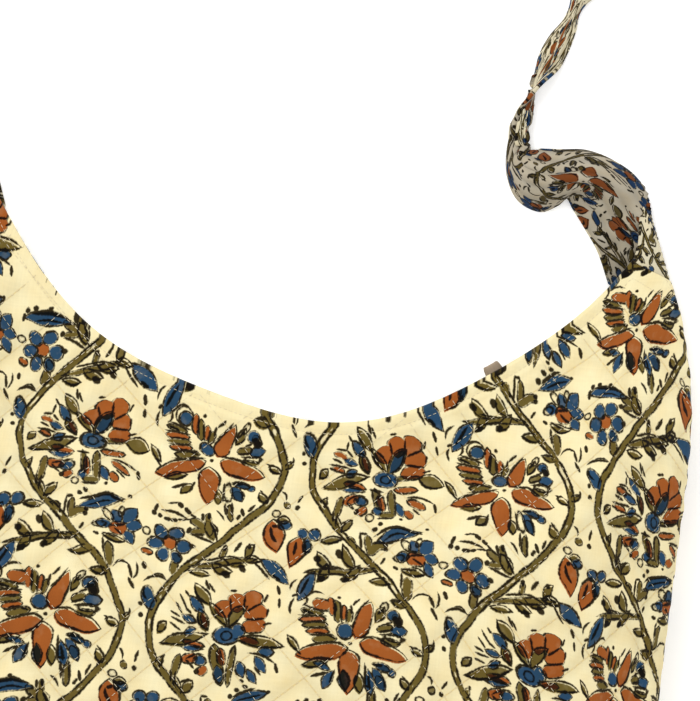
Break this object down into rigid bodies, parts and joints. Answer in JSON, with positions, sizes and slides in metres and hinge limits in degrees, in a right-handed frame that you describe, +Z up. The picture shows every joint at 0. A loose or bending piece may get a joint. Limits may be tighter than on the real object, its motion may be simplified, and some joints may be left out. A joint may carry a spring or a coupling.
{
  "type": "cotton tote bag",
  "caption": "Quilted cotton tote bag with a deep scooped mouth and one soft cloth strap, lying on its back with its strap loose.",
  "frame": {"origin": "on the surface under the bag, in the middle of the back panel's flat resting area", "axes": "+X across the bag, +Y from the bottom seam to the mouth and strap, +Z up out of the front"},
  "size_m": [0.4116, 0.656, 0.0752],
  "materials": {
    "quilted_print": "matte quilted cotton, cream with a block print in rust, indigo, olive and dark brown",
    "printed_strip": "matte plain-woven cotton with the same block print, greyer on its inner face",
    "plain_tab": "matte plain-woven cotton, taupe"
  },
  "bodies": {
    "root": {"front_panel": "quilted_print", "back_panel": "quilted_print", "strap": "printed_strip", "mouth_tab": "plain_tab"}
  },
  "joints": []
}
